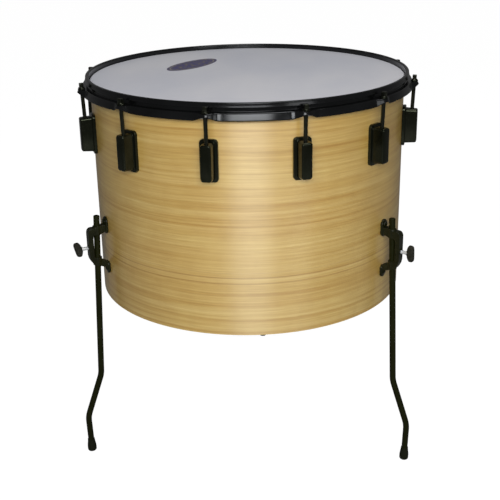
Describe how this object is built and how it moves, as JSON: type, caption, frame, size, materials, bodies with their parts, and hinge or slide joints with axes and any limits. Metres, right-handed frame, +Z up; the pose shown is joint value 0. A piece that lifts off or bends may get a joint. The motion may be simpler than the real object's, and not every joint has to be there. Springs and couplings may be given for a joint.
{
  "type": "timbal drum",
  "caption": "Tall wooden hand drum with a white head, dark pressed counter hoop, tension rods and lugs round its rim, standing on clamped, bent metal legs.",
  "frame": {"origin": "centre of the playing surface, on the axis of the shell", "axes": "+Z up, out of the head; -Y towards the front, where the legs stand one to each side"},
  "size_m": [0.5488, 0.5896, 0.6283],
  "materials": {
    "shell": "satin lacquer",
    "head": "smooth",
    "flesh_hoop": "mill",
    "hoop": "black nickel",
    "lugs": "black nickel",
    "rods": "black nickel",
    "steel": "bright zinc",
    "brackets": "gloss black",
    "legs": "satin black",
    "feet": "matt",
    "handles": "textured"
  },
  "bodies": {
    "drum": {"shell": "shell", "drum_head": "head", "flesh_hoop": "flesh_hoop", "counter_hoop": "hoop", "lug_01": "lugs", "lug_02": "lugs", "lug_03": "lugs", "lug_04": "lugs", "lug_05": "lugs", "lug_06": "lugs", "lug_07": "lugs", "lug_08": "lugs", "lug_09": "lugs", "lug_10": "lugs", "lug_11": "lugs", "lug_12": "lugs", "swivel_nut_01": "steel", "swivel_nut_02": "steel", "swivel_nut_03": "steel", "swivel_nut_04": "steel", "swivel_nut_05": "steel", "swivel_nut_06": "steel", "swivel_nut_07": "steel", "swivel_nut_08": "steel", "swivel_nut_09": "steel", "swivel_nut_10": "steel", "swivel_nut_11": "steel", "swivel_nut_12": "steel", "leg_bracket_1": "brackets", "leg_bracket_2": "brackets", "leg_bracket_3": "brackets"},
    "rod_01": {"tension_rod_01": "rods"},
    "rod_02": {"tension_rod_02": "rods"},
    "rod_03": {"tension_rod_03": "rods"},
    "rod_04": {"tension_rod_04": "rods"},
    "rod_05": {"tension_rod_05": "rods"},
    "rod_06": {"tension_rod_06": "rods"},
    "rod_07": {"tension_rod_07": "rods"},
    "rod_08": {"tension_rod_08": "rods"},
    "rod_09": {"tension_rod_09": "rods"},
    "rod_10": {"tension_rod_10": "rods"},
    "rod_11": {"tension_rod_11": "rods"},
    "rod_12": {"tension_rod_12": "rods"},
    "leg_assembly_1": {"leg_1": "legs", "foot_1": "feet"},
    "leg_assembly_2": {"leg_2": "legs", "foot_2": "feet"},
    "leg_assembly_3": {"leg_3": "legs", "foot_3": "feet"},
    "clamp_1": {"clamp_screw_1": "steel", "clamp_handle_1": "handles"},
    "clamp_2": {"clamp_screw_2": "steel", "clamp_handle_2": "handles"},
    "clamp_3": {"clamp_screw_3": "steel", "clamp_handle_3": "handles"}
  },
  "joints": [
    {"name": "rod_turn_01", "type": "hinge", "parent": "drum", "child": "rod_01", "pos_m": [-0.03744, -0.26638, -0.0064], "axis": [-0.0048, -0.0344, 0.9994], "continuous": true},
    {"name": "rod_turn_02", "type": "hinge", "parent": "drum", "child": "rod_02", "pos_m": [0.10077, -0.24941, -0.0064], "axis": [0.013, -0.0322, 0.9994], "continuous": true},
    {"name": "rod_turn_03", "type": "hinge", "parent": "drum", "child": "rod_03", "pos_m": [0.21197, -0.16561, -0.0064], "axis": [0.0273, -0.0214, 0.9994], "continuous": true},
    {"name": "rod_turn_04", "type": "hinge", "parent": "drum", "child": "rod_04", "pos_m": [0.26638, -0.03744, -0.0064], "axis": [0.0344, -0.0048, 0.9994], "continuous": true},
    {"name": "rod_turn_05", "type": "hinge", "parent": "drum", "child": "rod_05", "pos_m": [0.24941, 0.10077, -0.0064], "axis": [0.0322, 0.013, 0.9994], "continuous": true},
    {"name": "rod_turn_06", "type": "hinge", "parent": "drum", "child": "rod_06", "pos_m": [0.16561, 0.21197, -0.0064], "axis": [0.0214, 0.0273, 0.9994], "continuous": true},
    {"name": "rod_turn_07", "type": "hinge", "parent": "drum", "child": "rod_07", "pos_m": [0.03744, 0.26638, -0.0064], "axis": [0.0048, 0.0344, 0.9994], "continuous": true},
    {"name": "rod_turn_08", "type": "hinge", "parent": "drum", "child": "rod_08", "pos_m": [-0.10077, 0.24941, -0.0064], "axis": [-0.013, 0.0322, 0.9994], "continuous": true},
    {"name": "rod_turn_09", "type": "hinge", "parent": "drum", "child": "rod_09", "pos_m": [-0.21197, 0.16561, -0.0064], "axis": [-0.0273, 0.0214, 0.9994], "continuous": true},
    {"name": "rod_turn_10", "type": "hinge", "parent": "drum", "child": "rod_10", "pos_m": [-0.26638, 0.03744, -0.0064], "axis": [-0.0344, 0.0048, 0.9994], "continuous": true},
    {"name": "rod_turn_11", "type": "hinge", "parent": "drum", "child": "rod_11", "pos_m": [-0.24941, -0.10077, -0.0064], "axis": [-0.0322, -0.013, 0.9994], "continuous": true},
    {"name": "rod_turn_12", "type": "hinge", "parent": "drum", "child": "rod_12", "pos_m": [-0.16561, -0.21197, -0.0064], "axis": [-0.0214, -0.0273, 0.9994], "continuous": true},
    {"name": "leg_slide_1", "type": "slide", "parent": "drum", "child": "leg_assembly_1", "axis": [0.0382, 0.0221, 0.999], "range_m": [-0.02, 0.15]},
    {"name": "leg_slide_2", "type": "slide", "parent": "drum", "child": "leg_assembly_2", "axis": [-0.0382, 0.0221, 0.999], "range_m": [-0.02, 0.15]},
    {"name": "leg_slide_3", "type": "slide", "parent": "drum", "child": "leg_assembly_3", "axis": [0, -0.0441, 0.999], "range_m": [-0.02, 0.15]},
    {"name": "clamp_turn_1", "type": "hinge", "parent": "drum", "child": "clamp_1", "pos_m": [-0.2397, -0.13839, -0.2531], "axis": [-0.866, -0.5, 0], "continuous": true},
    {"name": "clamp_turn_2", "type": "hinge", "parent": "drum", "child": "clamp_2", "pos_m": [0.2397, -0.13839, -0.2531], "axis": [0.866, -0.5, 0], "continuous": true},
    {"name": "clamp_turn_3", "type": "hinge", "parent": "drum", "child": "clamp_3", "pos_m": [0, 0.27678, -0.2531], "axis": [0, 1, 0], "continuous": true}
  ]
}
